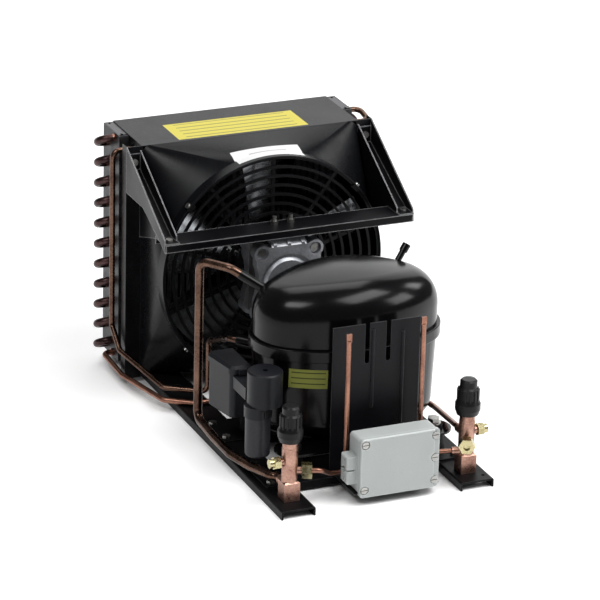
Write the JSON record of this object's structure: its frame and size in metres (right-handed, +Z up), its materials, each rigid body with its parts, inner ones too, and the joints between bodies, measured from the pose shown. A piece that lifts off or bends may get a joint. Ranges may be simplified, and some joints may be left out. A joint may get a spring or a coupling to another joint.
{
  "type": "refrigeration condensing unit",
  "caption": "Air-cooled hermetic condensing unit: compressor, finned condenser with hooded fan, service valves and junction box on a two-rail steel base.",
  "frame": {"origin": "on the floor, under the middle of the base rails, half way between them", "axes": "+Z up, +Y along the rails from the valves to the condenser, +X to the right seen from the valve end, fan axis along Y"},
  "size_m": [0.33, 0.496, 0.29],
  "materials": {
    "black_paint": "satin black stove enamel on sheet steel",
    "gloss_black": "gloss black enamel on the pressed shell",
    "grey_black_paint": "satin grey-black enamel",
    "guard_coating": "satin black coating on wire",
    "zinc_steel": "zinc plated",
    "galvanised": "spangled galvanised sheet",
    "lamination": "bare laminated steel",
    "cast_iron": "machined grey iron",
    "cast_aluminium": "die-cast, matt",
    "fan_aluminium": "bright pressed sheet",
    "fin_aluminium": "thin plain fins",
    "copper": "drawn copper, lightly tarnished",
    "brass": "turned brass",
    "valve_bronze": "forged brass, pinkish and dull",
    "rubber": "matt black",
    "dark_plastic": "matt black moulding",
    "grey_plastic": "light grey moulding",
    "grey_sleeve": "grey sleeve",
    "white_plastic": "off-white moulding"
  },
  "bodies": {
    "chassis": {"left_base_rail": "black_paint", "right_base_rail": "black_paint", "front_cross_member": "black_paint", "rear_cross_member": "black_paint", "frame_bolts": "zinc_steel", "compressor_upper_shell": "gloss_black", "compressor_lower_shell": "gloss_black", "process_tube": "gloss_black", "compressor_feet": "gloss_black", "compressor_grommets": "rubber", "compressor_foot_bolts": "zinc_steel", "compressor_stator": "lamination", "compressor_rotor": "lamination", "crankshaft": "cast_iron", "cylinder_block": "cast_iron", "piston": "cast_iron", "connecting_rod": "cast_aluminium", "support_springs": "zinc_steel", "relay_box": "dark_plastic", "capacitor_cover": "dark_plastic", "capacitor": "grey_sleeve", "coil_fins": "fin_aluminium", "coil_tubes": "copper", "return_bends": "copper", "left_coil_end_plate": "galvanised", "right_coil_end_plate": "galvanised", "fan_shroud": "grey_black_paint", "left_arm": "black_paint", "right_arm": "black_paint", "motor_cross_bar": "black_paint", "sheet_metal_screws": "zinc_steel", "fan_guard": "guard_coating", "fan_motor_front_shield": "cast_aluminium", "fan_motor_rear_shield": "cast_aluminium", "fan_motor_stator": "lamination", "fan_motor_bolts": "zinc_steel", "suction_line": "copper", "discharge_line": "copper", "liquid_line": "copper", "low_pressure_tube": "copper", "high_pressure_tube": "copper", "control_bracket": "black_paint", "junction_box": "grey_plastic", "cable_clamp": "grey_plastic", "terminal_block": "white_plastic", "suction_valve_body": "valve_bronze", "suction_valve_flare_nut": "brass", "liquid_valve_body": "valve_bronze", "liquid_valve_flare_nut": "brass"},
    "fan": {"fan_wheel": "fan_aluminium", "fan_motor_rotor": "lamination"},
    "suction_cap": {"suction_valve_cap": "dark_plastic"},
    "suction_stem": {"suction_valve_spindle": "brass"},
    "suction_port_cap": {"suction_valve_port_cap": "brass"},
    "liquid_cap": {"liquid_valve_cap": "dark_plastic"},
    "liquid_stem": {"liquid_valve_spindle": "brass"},
    "liquid_port_cap": {"liquid_valve_port_cap": "brass"},
    "box_lid": {"junction_box_lid": "grey_plastic", "junction_box_screws": "zinc_steel"},
    "relay_lid": {"relay_box_lid": "dark_plastic"}
  },
  "joints": [
    {"name": "fan_spin", "type": "hinge", "parent": "chassis", "child": "fan", "pos_m": [0, 0.12, 0.151], "axis": [0, 1, 0], "continuous": true},
    {"name": "suction_cap_lift", "type": "slide", "parent": "chassis", "child": "suction_cap", "axis": [0, 0, 1], "range_m": [0, 0.045]},
    {"name": "suction_stem_turn", "type": "hinge", "parent": "chassis", "child": "suction_stem", "pos_m": [-0.105, -0.218, 0.09], "axis": [0, 0, 1], "range_deg": [0, 1440]},
    {"name": "suction_port_cap_pull", "type": "slide", "parent": "chassis", "child": "suction_port_cap", "axis": [-1, 0, 0], "range_m": [0, 0.02]},
    {"name": "liquid_cap_lift", "type": "slide", "parent": "chassis", "child": "liquid_cap", "axis": [0, 0, 1], "range_m": [0, 0.045]},
    {"name": "liquid_stem_turn", "type": "hinge", "parent": "chassis", "child": "liquid_stem", "pos_m": [0.105, -0.218, 0.09], "axis": [0, 0, 1], "range_deg": [0, 1440]},
    {"name": "liquid_port_cap_pull", "type": "slide", "parent": "chassis", "child": "liquid_port_cap", "axis": [1, 0, 0], "range_m": [0, 0.02]},
    {"name": "box_lid_pull", "type": "slide", "parent": "chassis", "child": "box_lid", "axis": [0, -1, 0], "range_m": [0, 0.04]},
    {"name": "relay_lid_lift", "type": "slide", "parent": "chassis", "child": "relay_lid", "axis": [0, 0, 1], "range_m": [0, 0.015]}
  ]
}
